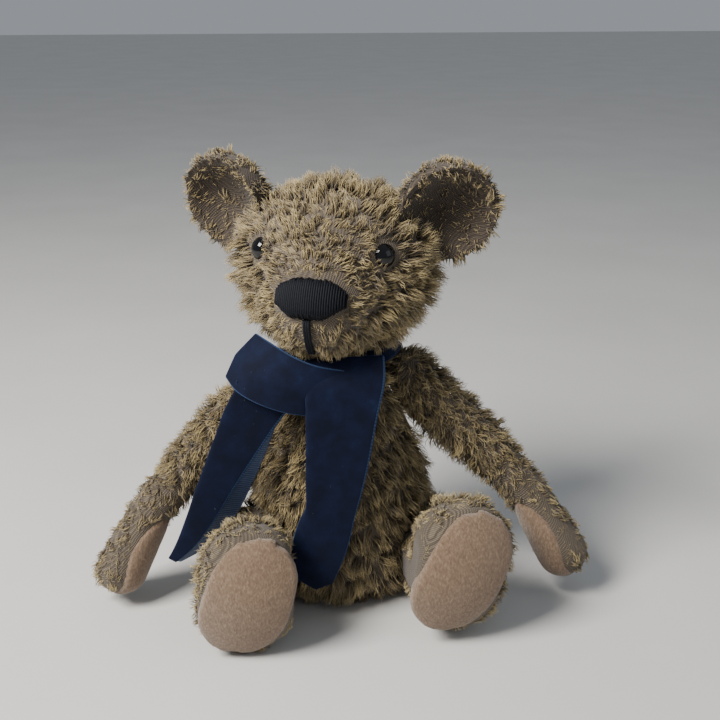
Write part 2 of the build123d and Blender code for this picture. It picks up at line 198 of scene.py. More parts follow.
def backing_finish(name, painted_shade):
    finish = Finish(name, 0.85, Sheen_Weight=0.12)
    place = finish.object_place()
    wander = finish.add("TexNoise", {"Vector": place, "Scale": 1 / (4 * mm), "Detail": 2.0}).outputs["Color"]
    bent = finish.add("VectorMath", {0: wander, 1: (0.0007,) * 3}, operation="MULTIPLY").outputs[0]
    place = finish.add("VectorMath", {0: place, 1: bent}, operation="ADD").outputs[0]
    parts = finish.add("SeparateXYZ", {0: place}).outputs
    turns = 2 * math.pi / thread_pitch
    warp = finish.math("SINE", finish.math("MULTIPLY", finish.math("ADD", parts[0], parts[1]), turns))
    weft = finish.math("SINE", finish.math("MULTIPLY", parts[2], turns * 1.15))
    weave = finish.math("MULTIPLY", warp, weft)
    level = finish.math("MULTIPLY_ADD", weave, 0.5)
    level.node.inputs[2].default_value = 0.5
    cloth = finish.ramp(level, [(0.15, (0.040, 0.029, 0.022)), (0.6, (0.125, 0.098, 0.068)),
                                (0.95, (0.27, 0.22, 0.155))])
    patches = finish.noise(place, 9 * mm)
    worn = finish.mix(patches, cloth, (0.06, 0.045, 0.032))
    # The colour is multiplied by painted_shade: white leaves the backing as it is, and a darker value paints
    # shade over the whole piece.
    finish.paint(finish.mix(1.0, worn, painted_shade, "MULTIPLY"))
    finish.bump(level, 0.6, 0.35 * mm)
    return finish.material


mohair_backing = backing_finish("mohair_backing", (1.0, 1.0, 1.0))
# The ears' backing is multiplied darker all over: painted shade, standing in for the shade in the ears'
# cupped hollows.
shaded_ear_backing = backing_finish("shaded_ear_backing", (0.48, 0.44, 0.42))

# %% [markdown]
# ### Felt, thread, glass, velvet and satin
# The pads are brushed wool felt, matt and mottled at the scale of its fibres. The nose is worked in
# black embroidery thread. The eyes are black glass. The ribbon is cotton velvet with a blue woven
# edge, and its back is a ribbed satin: both read the ribbon's UV map, which runs across and along it.

# %% Finish: felt
def felt_finish():
    finish = Finish("brushed_felt", 0.92, Sheen_Weight=0.35, Sheen_Roughness=0.5, Specular_IOR_Level=0.2)
    place = finish.object_place()
    slanted = finish.add("Mapping", {"Vector": place, "Rotation": (0.3, 0.5, 0.2), "Scale": (1.0, 1.0, 0.45)})
    fibres = finish.noise(slanted.outputs[0], 0.42 * mm, 6.0, 0.75)
    rubs = finish.noise(place, 5 * mm, 3.0)
    felt = finish.ramp(fibres, [(0.30, (0.09, 0.057, 0.036)), (0.5, (0.195, 0.130, 0.084)),
                                (0.72, (0.37, 0.27, 0.185))])
    finish.paint(finish.mix(finish.math("MULTIPLY", rubs, 0.45), felt, (0.15, 0.092, 0.058)))
    finish.bump(fibres, 0.9, 0.35 * mm)
    return finish.material


brushed_felt = felt_finish()


# %% Finish: thread and glass
def thread_finish():
    finish = Finish("nose_thread", 0.62, Specular_IOR_Level=0.12)
    place = finish.object_place()
    ply = finish.noise(place, 0.25 * mm, 3.0)
    finish.paint(finish.ramp(ply, [(0.3, (0.003, 0.0035, 0.005)), (0.75, (0.012, 0.013, 0.018))]))
    finish.bump(ply, 0.5, 0.12 * mm)
    return finish.material


def glass_finish():
    finish = Finish("black_glass", 0.05, Specular_IOR_Level=0.45)
    place = finish.object_place()
    smoke = finish.noise(place, 2 * mm)
    finish.paint(finish.ramp(smoke, [(0.3, (0.0012, 0.0012, 0.0016)), (0.7, (0.003, 0.003, 0.004))]))
    return finish.material


nose_thread = thread_finish()
black_glass = glass_finish()


# %% Finish: velvet and its satin back
def ribbon_parts(finish):
    place = finish.add("UVMap", uv_map="ribbon").outputs[0]
    return finish.add("SeparateXYZ", {0: place}).outputs


def edge_share(finish, across, width):
    """1 on the woven edge, 0 on the rest: across runs from 0 to 1 over the ribbon."""
    from_middle = finish.math("ABSOLUTE", finish.math("SUBTRACT", across, 0.5))
    return finish.math("GREATER_THAN", from_middle, 0.5 - width)


def velvet_finish():
    finish = Finish("navy_velvet", 0.8, Sheen_Weight=0.9, Sheen_Roughness=0.35, Specular_IOR_Level=0.15)
    finish.shader.inputs["Sheen Tint"].default_value = (0.10, 0.17, 0.42, 1)
    parts = ribbon_parts(finish)
    place = finish.object_place()
    # Patches where the pile lies different ways: the crushed pile is real, but its lighter and darker look,
    # painted into the colour here, is painted sheen.
    crushed_pile_sheen = finish.noise(place, 5 * mm, 3.0, 0.6)
    tufts = finish.noise(place, 0.22 * mm, 2.0)
    pile = finish.ramp(crushed_pile_sheen, [(0.38, (0.0016, 0.0026, 0.0105)), (0.62, (0.0035, 0.0075, 0.030)),
                               (0.80, (0.010, 0.020, 0.062))])
    pile = finish.mix(tufts, pile, (0.002, 0.004, 0.015))
    lint = finish.math("GREATER_THAN", finish.noise(place, 0.8 * mm, 2.0), 0.765)
    pile = finish.mix(finish.math("MULTIPLY", lint, 0.35), pile, (0.16, 0.19, 0.26))
    ribs = finish.math("SINE", finish.math("MULTIPLY", parts[1], 2 * math.pi / 0.011))
    ribs = finish.math("MULTIPLY_ADD", ribs, 0.5)
    edge = finish.ramp(ribs, [(0.0, (0.008, 0.016, 0.045)), (1.0, (0.035, 0.065, 0.14))])
    share = edge_share(finish, parts[0], 0.024)
    finish.paint(finish.mix(share, pile, edge))
    finish.bump(tufts, 0.5, 0.15 * mm)
    return finish.material


def satin_finish():
    finish = Finish("satin_back", 0.42, Sheen_Weight=0.3)
    parts = ribbon_parts(finish)
    rib = finish.math("SINE", finish.math("MULTIPLY", parts[1], 2 * math.pi / 0.0095))
    ply = finish.noise(finish.object_place(), 0.3 * mm)
    level = finish.math("MULTIPLY_ADD", rib, 0.5)
    colour = finish.ramp(level, [(0.0, (0.008, 0.018, 0.055)), (1.0, (0.055, 0.105, 0.22))])
    finish.paint(finish.mix(finish.math("MULTIPLY", ply, 0.5), colour, (0.02, 0.04, 0.12)))
    finish.bump(rib, 0.5, 0.1 * mm)
    return finish.material


navy_velvet = velvet_finish()
satin_back = satin_finish()

# %% [markdown]
# ### The hidden hardware
# The discs, pins and stuffing inside keep their CAD shapes. They still get real finishes, because a
# bear is opened up for repair: bright steel, hard card, loose fibre and calico.

# %% Finishes of the hidden pieces
def plain_finish(name, roughness, grain, dark, pale, metallic=0.0, depth=0.1 * mm):
    finish = Finish(name, roughness, Metallic=metallic)
    fibres = finish.noise(finish.object_place(), grain, 4.0, 0.6)
    finish.paint(finish.ramp(fibres, [(0.3, dark), (0.7, pale)]))
    finish.bump(fibres, 0.4, depth)
    return finish.material


steel = plain_finish("bright_steel", 0.28, 0.4 * mm, (0.42, 0.42, 0.43), (0.62, 0.62, 0.63), 1.0, 0.02 * mm)
card = plain_finish("hard_card", 0.8, 0.8 * mm, (0.26, 0.17, 0.10), (0.44, 0.31, 0.20))
fibre = plain_finish("loose_fibre", 0.95, 1.2 * mm, (0.50, 0.45, 0.37), (0.82, 0.78, 0.70), depth=0.6 * mm)
calico = plain_finish("calico", 0.9, 0.5 * mm, (0.52, 0.47, 0.38), (0.74, 0.70, 0.60))
finish_of = {"_stuffing": fibre, "_disc": card, "_washer": steel, "_pin": steel, "_wire": steel,
             "_eye": black_glass, "shot_bag": calico}
for name, node in frame["nodes"].items():
    for ending, finish in finish_of.items():
        if name.endswith(ending):
            node.data.materials.clear()
            node.data.materials.append(finish)
print(len(bpy.data.materials), "materials")


# %% [markdown]
# ## The stuffed skins
# A bear's limb is a sewn cloth bag packed with fibre. It could be drawn as a new shape, but the CAD
# cover already has the pattern's outline and the flats at the joints. So the cover and what is inside
# it are gathered into one mesh, and a voxel remesh wraps them in an even skin. Only the outermost
# island is kept, because the hollows round the joint discs would leave surfaces inside.

# %% Helper: an even skin round some CAD nodes
def island_of(start, unseen):
    island, queue = set(), [start]
    while queue:
        vert = queue.pop()
        if vert in unseen:
            unseen.discard(vert)
            island.add(vert)
            queue.extend(edge.other_vert(vert) for edge in vert.link_edges)
    return island


def wrapped(name, nodes, voxel):
    bm = bmesh.new()
    for node in nodes:
        bm.from_mesh(frame["nodes"][node].data)
    mesh = bpy.data.meshes.new(name)
    bm.to_mesh(mesh)
    bm.free()
    rough = bpy.data.objects.new("rough", mesh)
    bpy.context.scene.collection.objects.link(rough)
    remesh = rough.modifiers.new("skin", "REMESH")
    remesh.mode = "VOXEL"
    remesh.voxel_size = voxel
    bpy.context.view_layer.update()
    even = rough.evaluated_get(bpy.context.evaluated_depsgraph_get())
    bm = bmesh.new()
    bm.from_mesh(even.data)
    bpy.data.objects.remove(rough)
    unseen, islands = set(bm.verts), []
    while unseen:
        islands.append(island_of(next(iter(unseen)), unseen))
    largest = max(islands, key=len)
    bmesh.ops.delete(bm, geom=[v for v in bm.verts if v not in largest], context="VERTS")
    return bm


# %% [markdown]
# Cloth is then blown up from inside, which rounds the seams off and leaves the shallow lumps of packed
# fibre. The solver is made for things a metre or two across, so it works on a copy that is twenty
# times larger, and the movement comes back twenty times smaller. How far a point may move is capped,
# and near a joint it hardly moves, so that the flats of two neighbours stay apart.

# %% Helper: pressure from the stuffing
sim_scale = 20.0
joint_places = [Vector(joint["pos_m"]) for joint in frame["joints"]]


def joint_room(points, reach=11 * mm):
    """0 at a joint's flat, 1 well away from every joint."""
    share = np.ones(len(points))
    for place in joint_places:
        away = np.linalg.norm(points - np.array(place), axis=1)
        share = np.minimum(share, np.clip((away - 6 * mm) / reach, 0, 1))
    return share


def stuffed(bm, cap):
    mesh = bpy.data.meshes.new("stuffing_up")
    bm.verts.ensure_lookup_table()
    start = np.array([v.co for v in bm.verts])
    bm.to_mesh(mesh)
    mesh.transform(Matrix.Scale(sim_scale, 4))
    bag = bpy.data.objects.new("stuffing_up", mesh)
    bpy.context.scene.collection.objects.link(bag)
    cloth = bag.modifiers.new("cloth", "CLOTH")
    cloth.settings.use_pressure = True
    cloth.settings.uniform_pressure_force = 4
    cloth.settings.quality = 4
    cloth.settings.effector_weights.gravity = 0
    cloth.point_cache.frame_start = 1
    cloth.point_cache.frame_end = 20
    for step in range(1, 21):
        bpy.context.scene.frame_set(step)
    full = bag.evaluated_get(bpy.context.evaluated_depsgraph_get())
    end = np.array([v.co for v in full.data.vertices]) / sim_scale
    bpy.data.objects.remove(bag)
    bpy.context.scene.frame_set(1)
    move = end - start
    length = np.linalg.norm(move, axis=1)
    move *= (np.minimum(length, cap) / np.maximum(length, 1e-9) * joint_room(start))[:, None]
    for vert, step in zip(bm.verts, move):
        vert.co += Vector(step)
    print("  moved at most", round(float(np.linalg.norm(move, axis=1).max()) / mm, 2), "mm")


# %% [markdown]
# The skins of torso, head, arms and legs all go the same way. Each is wrapped, smoothed, blown up and
# smoothed again. The head is also pushed out at the cheeks and squared off at the crown, as a bear's
# wide head with a centre gusset is.

# %% Helper: one stuffed piece
def smoothed(bm, verts):
    bmesh.ops.smooth_vert(bm, verts=verts, factor=0.5, use_axis_x=True, use_axis_y=True, use_axis_z=True)


def stuffed_piece(name, nodes, body, replaced, material, voxel, cap, fill, shape=None):
    bm = wrapped(name, nodes, voxel)
    for turn in range(3):
        smoothed(bm, bm.verts)
    if shape:
        shape(bm)
    stuffed(bm, cap)
    smoothed(bm, bm.verts)
    piece = make_piece(name, mesh_from(bm, name), material, body)
    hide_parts(*replaced)
    print(name, len(piece.data.polygons), "faces")
    return piece


def square_head(bm):
    """Fuller cheeks and a flatter, broader crown."""
    untwist = head_turn.inverted()
    for vert in bm.verts:
        x, y, z = (untwist @ (vert.co - middle)) / mm
        crown = max(0.0, 1 - ((z - 97) / 9) ** 2) * min(1.0, abs(x) / 12)
        cheek = max(0.0, 1 - ((z - 86) / 10) ** 2) * min(1.0, abs(x) / 14) * max(0.0, 1 - ((y + 2) / 16) ** 2)
        push = (1.9 * crown + 1.6 * cheek) * (1 if x > 0 else -1)
        vert.co += head_turn @ Vector((push * mm, 0, 0))


# %% The skins
hardware = ["neck", "left_shoulder", "right_shoulder", "left_hip", "right_hip"]
torso_nodes = ["torso_cover", "torso_stuffing", "shot_bag"] + [f"torso_{j}_{p}" for j in hardware
                                                              for p in ("disc", "washer")]
skins = {}
skins["torso"] = stuffed_piece("torso_skin", torso_nodes, "torso", ["torso_cover"], mohair_backing,
                               1.0 * mm, 0.8 * mm, 0.8)
head_nodes = ["head_cover", "head_stuffing", "head_disc", "head_washer"]
skins["head"] = stuffed_piece("head_skin", head_nodes, "head", ["head_cover"], mohair_backing,
                              1.0 * mm, 0.8 * mm, 0.9, square_head)
for side in sides:
    arm, leg = f"{side}_arm", f"{side}_leg"
    for limb, pad, fill in ((arm, "paw_pad", 0.7), (leg, "sole_pad", 0.75)):
        limb_nodes = [f"{limb}_cover", f"{limb}_stuffing", f"{limb}_disc", f"{side}_{pad}"]
        skins[limb] = stuffed_piece(f"{limb}_skin", limb_nodes, limb, [f"{limb}_cover"], mohair_backing,
                                    0.9 * mm, 0.5 * mm, fill)

# %% [markdown]
# ## Pads and ears
# Soles and paw pads are felt, sewn into the skin and pushed out by the stuffing, so the soles stand as
# shallow domes. The ears are two layers of cloth with a cupped front. These are small, so a finer
# voxel keeps their edges, and the pads are fattened a little to lie over the skin's edge.

# %% The pads and the ears
def fatten(amount):
    def shape(bm):
        bm.normal_update()
        moves = [(vert, vert.normal * amount) for vert in bm.verts]
        for vert, move in moves:
            vert.co += move
    return shape


def egg(side, lean):
    """A sole cut like an egg: fuller in the middle, narrower at the toe, and leaning with the foot."""
    low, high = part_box(f"{side}_sole_pad")
    centre, half = (low + high) / 2, (high.z - low.z) / 2

    def shape(bm):
        bm.normal_update()
        for vert in bm.verts:
            vert.co.y += vert.normal.y * 0.8 * mm
            up = (vert.co.z - centre.z) / half
            wide = 0.97 - 0.14 * up**2 - 0.04 * up
            vert.co.x = centre.x + (vert.co.x - centre.x) * wide + lean * half * up
            vert.co.z = max(vert.co.z, 0.35 * mm)
    return shape


sole_leans = {"left": 0.17, "right": 0.13}
for side in sides:
    stuffed_piece(f"{side}_paw_pad_felt", [f"{side}_paw_pad"], f"{side}_arm", [f"{side}_paw_pad"],
                  brushed_felt, 0.5 * mm, 0.2 * mm, 0.9, fatten(0.3 * mm))
    stuffed_piece(f"{side}_sole_pad_felt", [f"{side}_sole_pad"], f"{side}_leg", [f"{side}_sole_pad"],
                  brushed_felt, 0.5 * mm, 0.2 * mm, 0.9, egg(side, sole_leans[side]))
    # Each ear's cloth takes the backing darkened with painted shade.
    skins[f"{side}_ear"] = stuffed_piece(f"{side}_ear_cloth", [f"{side}_ear"], "head", [f"{side}_ear"],
                                         shaded_ear_backing, 0.7 * mm, 0.3 * mm, 0.3)

# %% [markdown]
# ## Nose and mouth
# The nose is satin stitch: rows of black thread laid side by side over a pad, each an upright arc on
# the round muzzle. A small circle spun about the muzzle's middle is exactly such an arc, so one spin
# makes one stitch. A second layer lies under the first, so that no gap shows. The mouth is three
# longer stitches in the middle.

# %% The stitches
muzzle = Vector((0, -17, 79))
nose_radius = 12.15
nose_pitch = math.radians(25)
nose_half, nose_foot, nose_edge = 8.1, 3.3, 4.9
stitch_tuck = 1.3


def stitch(bm, across, low, high, radius, thread):
    """One thread from low to high, both measured up the muzzle from the nose's middle."""
    ring = math.sqrt(radius**2 - across**2)
    start, end = (nose_pitch + math.asin(max(-0.99, min(0.99, h / ring))) for h in (low, high))
    first = bmesh.ops.create_circle(bm, cap_ends=True, segments=6, radius=thread)["verts"]
    place = Matrix.Translation(Vector((across, muzzle.y, muzzle.z))) @ Matrix.Rotation(-start, 4, "X")
    place = place @ Matrix.Translation((0, -ring, 0))
    bmesh.ops.transform(bm, matrix=place, verts=first)
    face = next(iter(set(first[0].link_faces)))
    made = bmesh.ops.spin(bm, geom=[face, *face.edges, *face.verts], cent=(across, muzzle.y, muzzle.z),
                          axis=(-1, 0, 0), angle=end - start, steps=8, use_duplicate=False)
    last = [v for v in made["geom_last"] if isinstance(v, bmesh.types.BMVert)]
    for vert in (*first, *last):
        vert.co += (muzzle - vert.co).normalized() * stitch_tuck


def stitched(name, node, rows):
    bm = bmesh.new()
    for row in rows:
        stitch(bm, *row)
    bmesh.ops.scale(bm, vec=(mm, mm, mm), verts=bm.verts)
    bmesh.ops.transform(bm, matrix=Matrix.Translation(middle) @ head_turn, verts=bm.verts)
    piece = make_piece(name, mesh_from(bm, name), nose_thread, "head")
    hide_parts(node)
    print(name, len(piece.data.polygons), "faces")
    return piece


def nose_rows():
    for layer, (radius, pitch) in enumerate(((nose_radius - 0.45, 0.62), (nose_radius, 0.5))):
        for across in np.arange(-nose_half + 0.3 * layer, nose_half, pitch):
            share = abs(across) / nose_half
            low = -nose_edge + max(0.0, abs(across) - nose_foot) ** 1.5 * 0.32
            high = nose_edge * (1 - 0.5 * share**4) + random.uniform(-0.35, 0.35)
            if high - low > 2:
                yield across, low + random.uniform(-0.2, 0.2), high, radius + 0.7 * (1 - share**2), 0.33


nose = stitched("nose_stitches", "nose_stitching", nose_rows())
mouth = stitched("mouth_stitches", "mouth_stitch",
                 [(across, -nose_edge - 7.4, -nose_edge + 0.8, 11.75, 0.38) for across in (-0.5, 0.0, 0.5)])

# %% [markdown]
# ## The ribbon
# It is one length of 22 mm velvet ribbon, tied once: a band round the neck, a fold wrapped over the
# front and two tails. Every part is a strip, so one helper makes them all. At each station down the
# strip three places are given: one edge, the fold and the other edge. A grid is bent through them, and
# a few rounds of smoothing turn the fold into a soft roll. The grid's own UV map keeps "across" and
# "along", which the woven edge and the ribbed back follow.

# %% Helper: a folded strip of ribbon
cloth_thickness = 0.55 * mm


def curve_through(points, count):
    """Steps along a smooth line through the points, as many from each point to the next."""
    points = np.array(points, float)
    ends = np.vstack([2 * points[0] - points[1], points, 2 * points[-1] - points[-2]])
    made = []
    for t in np.linspace(0, len(points) - 1, count):
        k = min(int(t), len(points) - 2)
        a, b, c, d = ends[k:k + 4]
        s = t - k
        bend = (2 * a - 5 * b + 4 * c - d) * s**2 + (3 * b - a - 3 * c + d) * s**3
        made.append(0.5 * (2 * b + (c - a) * s + bend))
    return np.array(made)


def strip(name, stations, along, body_node, across=20, softness=4):
    firsts, folds, lasts = (curve_through([station[k] for station in stations], along + 1) for k in range(3))
    bm = bmesh.new()
    uv = bm.loops.layers.uv.new("ribbon")
    grid = bmesh.ops.create_grid(bm, x_segments=across, y_segments=along, size=0.5)["verts"]
    for vert in grid:
        u, v = vert.co.x + 0.5, vert.co.y + 0.5
        for loop in vert.link_loops:
            loop[uv].uv = (u, v)
        row = round(v * along)
        a, f, b = firsts[row], folds[row], lasts[row]
        share = np.linalg.norm(f - a) / (np.linalg.norm(f - a) + np.linalg.norm(b - f))
        place = a + (f - a) * u / share if u < share else f + (b - f) * (u - share) / (1 - share)
        vert.co = spot(*place)
    for turn in range(softness):
        inner = [vert for vert in bm.verts if not vert.is_boundary]
        smoothed(bm, inner)
    area = sum(face.calc_area() for face in bm.faces)
    mesh = bpy.data.meshes.new(name)
    bm.to_mesh(mesh)
    bm.free()
    piece = make_piece(name, mesh, [navy_velvet, satin_back], "torso")
    solid = piece.modifiers.new("thickness", "SOLIDIFY")
    solid.thickness = cloth_thickness
    solid.offset = 0
    solid.material_offset = 1
    soft = piece.modifiers.new("soft", "SUBSURF")
    soft.levels = soft.render_levels = 1
    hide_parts(body_node)
    print(name, "area", round(area / mm**2), "mm2")
    return piece, area


# %% [markdown]
# The left tail lies in front of everything. Its right edge is rolled under and comes out again low
# down, where the satin shows. The right tail is folded lengthwise, with its fold outwards.

# %% The tails and the wrap
left_tail, left_tail_area = strip("ribbon_tail_left", [
    ((8.9, -18.6, 67.4), (-10.4, -18.2, 67.0), (-8.0, -17.4, 66.4)),
    ((8.6, -22.0, 62.0), (-10.8, -22.4, 62.2), (-6.5, -20.9, 61.8)),
    ((6.8, -23.2, 54.0), (-11.0, -23.6, 54.5), (-6.0, -22.0, 54.2)),
    ((4.9, -24.0, 43.7), (-11.0, -24.4, 44.2), (-6.2, -22.4, 43.6)),
    ((3.0, -24.8, 35.5), (-11.0, -25.2, 36.0), (-8.0, -22.8, 34.6)),
    ((1.1, -25.5, 29.0), (-9.8, -26.0, 30.0), (-12.0, -23.4, 28.0)),
    ((-0.6, -26.0, 21.6), (-7.2, -26.5, 23.0), (-14.2, -23.8, 20.4)),
    ((-2.9, -26.3, 15.4), (-5.4, -26.6, 16.4), (-13.4, -24.2, 13.2)),
    ((-4.8, -26.3, 11.4), (-5.2, -26.4, 11.6), (-8.4, -25.2, 9.6)),
], 44, "ribbon_left_tail")
right_tail, right_tail_area = strip("ribbon_tail_right", [
    ((-9.0, -18.6, 60.0), (-26.2, -18.4, 62.6), (-12.0, -17.4, 61.0)),
    ((-15.4, -18.7, 52.5), (-29.8, -18.2, 55.5), (-15.8, -16.9, 52.5)),
    ((-21.4, -18.2, 43.5), (-32.8, -17.6, 47.0), (-18.8, -16.2, 44.0)),
    ((-26.8, -17.5, 34.8), (-36.2, -16.8, 37.6), (-22.8, -15.2, 34.2)),
    ((-32.0, -16.8, 26.0), (-39.4, -16.2, 28.2), (-27.4, -14.4, 25.0)),
    ((-37.4, -16.0, 18.4), (-42.0, -15.6, 20.4), (-33.8, -14.2, 17.6)),
    ((-42.4, -15.3, 13.8), (-44.2, -15.2, 15.0), (-41.4, -14.5, 13.4)),
], 40, "ribbon_right_tail")
wrap, wrap_area = strip("ribbon_fold", [
    ((-20.6, -11.6, 71.6), (-25.6, -13.4, 67.2), (-28.2, -15.4, 62.4)),
    ((-17.6, -16.6, 71.0), (-22.6, -19.0, 65.4), (-25.4, -19.0, 59.6)),
    ((-12.8, -19.9, 68.6), (-17.2, -22.1, 62.8), (-19.6, -21.2, 56.8)),
    ((-7.6, -21.0, 66.4), (-10.4, -23.0, 60.6), (-12.4, -21.8, 54.6)),
    ((-2.0, -20.8, 65.0), (-3.0, -22.0, 59.6), (-4.6, -21.4, 54.0)),
    ((3.0, -20.2, 64.0), (2.0, -20.9, 59.0), (2.0, -20.4, 54.5)),
], 28, "ribbon_wrap", softness=6)

# %% [markdown]
# The band is the same ribbon folded in half lengthwise and laid round the neck between head and
# shoulders. Its stations go round in a ring, so the first and the last are the same.

# %% The band round the neck
def band_stations(count=24):
    for k in range(count + 1):
        angle = 2 * math.pi * k / count
        wave = 0.35 * math.sin(5 * angle) + 0.25 * math.sin(8 * angle + 1)
        across, deep = math.sin(angle), -math.cos(angle)
        low = 62.2 + 0.25 * wave
        outer = 15.6 + 1.3 * wave
        yield ((10.7 * across, 10.7 * deep, 64.8), (outer * across, outer * deep, low + 0.9),
               (10.8 * across, 10.8 * deep, low))


band, band_area = strip("ribbon_band", list(band_stations()), 96, "ribbon_collar", across=16, softness=2)

# %% [markdown]
# The declared length below is only the strip's own area divided by the ribbon's width. The fold and the
# band hold less cloth than a real ribbon of their length, and the tails are wider than the ribbon near
# their tops.

# %% [markdown]
# ## The pile
# A hair system would look right, but it isn't a mesh, and the bear needs one that can be exported. A hair
# system would look right, but it isn't a mesh, so each lock of mohair is a thin closed spike. One spike is
# modelled with operators: a three-sided cone, cut twice so that it can bend. Placing it with an operator
# once per lock would take minutes for tens of thousands of them, so the copies are placed with arithmetic
# on whole arrays.

# %% One lock
def lock_template(cuts=(0.35, 0.7)):
    bm = bmesh.new()
    bmesh.ops.create_cone(bm, cap_ends=True, cap_tris=True, segments=3, radius1=1, radius2=0, depth=1)
    bmesh.ops.translate(bm, vec=(0, 0, 0.5), verts=bm.verts)
    bmesh.ops.remove_doubles(bm, verts=bm.verts, dist=1e-5)
    for cut in cuts:
        whole = [*bm.verts, *bm.edges, *bm.faces]
        bmesh.ops.bisect_plane(bm, geom=whole, plane_co=(0, 0, cut), plane_no=(0, 0, 1))
    bmesh.ops.triangulate(bm, faces=bm.faces)
    bmesh.ops.recalc_face_normals(bm, faces=bm.faces)
    bm.verts.index_update()
    points = np.array([v.co for v in bm.verts])
    faces = np.array([[v.index for v in f.verts] for f in bm.faces])
    bm.free()
    around = np.hypot(points[:, 0], points[:, 1])[:, None]
    return points[:, 2], points[:, :2] / np.maximum(around, 1e-6) * (around > 1e-4), faces


lock_height, lock_round, lock_faces = lock_template()
print("a lock has", len(lock_faces), "faces")

# %% [markdown]
# Each panel of cloth has its own rule for the pile: how thick, how long, which way it lies and how
# curly it is. Locks stand in clumps, and the locks of a clump lean together at their tips. A lock that
# would run into the ribbon, a limb, an eye or the nose is cut short, as it is pressed flat there, and
# none goes through the floor.

# %% Helper: roots on a skin
def scatter(skin, count):
    mesh = skin.data
    mesh.calc_loop_triangles()
    places = np.array([v.co for v in mesh.vertices])
    normals = np.array([v.normal for v in mesh.vertices])
    triangles = np.array([t.vertices for t in mesh.loop_triangles])
    a, b, c = (places[triangles[:, k]] for k in range(3))
    area = np.linalg.norm(np.cross(b - a, c - a), axis=1)
    chosen = random.choice(len(triangles), count, p=area / area.sum())
    u, v = random.random((2, count))
    over = u + v > 1
    u[over], v[over] = 1 - u[over], 1 - v[over]
    weights = np.stack([1 - u - v, u, v], 1)[:, :, None]
    corner = triangles[chosen]
    root, out = (places[corner] * weights).sum(1), (normals[corner] * weights).sum(1)
    return root, out / np.linalg.norm(out, axis=1)[:, None]


def unit(vectors):
    return vectors / np.maximum(np.linalg.norm(vectors, axis=1), 1e-9)[:, None]


def clumped(root, size):
    """For each root, the number of its clump. Size is about how many locks a clump has."""
    seeds = random.choice(len(root), max(1, len(root) // size), replace=False)
    tree = KDTree(len(seeds))
    for k, seed in enumerate(seeds):
        tree.insert(root[seed], k)
    tree.balance()
    return np.array([tree.find(place)[1] for place in root]), seeds


# %% Helper: what a lock may run into
def tree_of(objects):
    bm = bmesh.new()
    depsgraph = bpy.context.evaluated_depsgraph_get()
    for piece in objects:
        bm.from_mesh(piece.evaluated_get(depsgraph).data)
    tree = BVHTree.FromBMesh(bm)
    bm.free()
    return tree


eyes = [frame["nodes"][f"{side}_eye"] for side in sides]
felts = [bpy.data.objects[f"{side}_{pad}_felt"] for side in sides for pad in ("sole_pad", "paw_pad")]
trims = tree_of([nose, mouth, *eyes, *felts])
ribbons = tree_of([left_tail, right_tail, wrap, band])


# %% Helper: a coat of locks
trim_reach = 2.8 * mm
worn_share = 0.25


def coat(name, skin, body, count, rule, clump, blockers):
    root, out = scatter(skin, count)
    local = (root - np.array(middle)) / mm
    if body == "head":
        turn = np.array(head_turn.inverted().to_3x3())
        local, facing = local @ turn.T, out @ turn.T
    else:
        facing = out
    share, length, lay, lift, curl = rule(local, facing)
    if body == "head":
        lay = lay @ turn
    keep = random.random(count) < share
    for k, place in enumerate(root):
        found = trims.find_nearest(place, trim_reach)
        if found[0] is not None:
            room = found[3] / trim_reach
            keep[k] &= found[3] > 0.3 * mm
            away = np.array(place) - np.array(found[0])
            lay[k] += away / max(found[3], 1e-6) * 0.9 * (1 - room)
            length[k] *= 0.4 + 0.6 * room
    root, out, length, lay, lift, curl = (a[keep] for a in (root, out, length, lay, lift, curl))
    number, seeds = clumped(root, clump)
    swing = random.normal(size=(len(seeds), 3))[number]
    direction = unit(out * lift[:, None] + lay + swing * 0.28 + random.normal(size=root.shape) * 0.16)
    direction = unit(direction + out * np.clip(0.25 - (direction * out).sum(1), 0, 1)[:, None])
    size = length * mm * random.uniform(0.72, 1.12, len(root))
    size = size * random.uniform(0.8, 1.15, len(seeds))[number]
    size *= np.where(random.random(len(seeds)) < worn_share, 0.5, 1.0)[number]
    for tree, spare in ((ribbons, 0.75), (trims, 0.6), *((tree, 0.9) for tree in blockers)):
        for k, (place, way) in enumerate(zip(root, direction)):
            found = tree.ray_cast(place + out[k] * 0.2 * mm, way, size[k] * 1.15)
            if found[0] is not None:
                size[k] = max(found[3] * spare, 0.5 * mm)
    tip = root + direction * size[:, None]
    gather = tip[seeds][number] - tip
    bend = gather * 0.5 + np.array([0, 0, -1.0]) * size[:, None] * 0.12
    add_locks(name, root, out, direction, size, bend, curl, number, body)


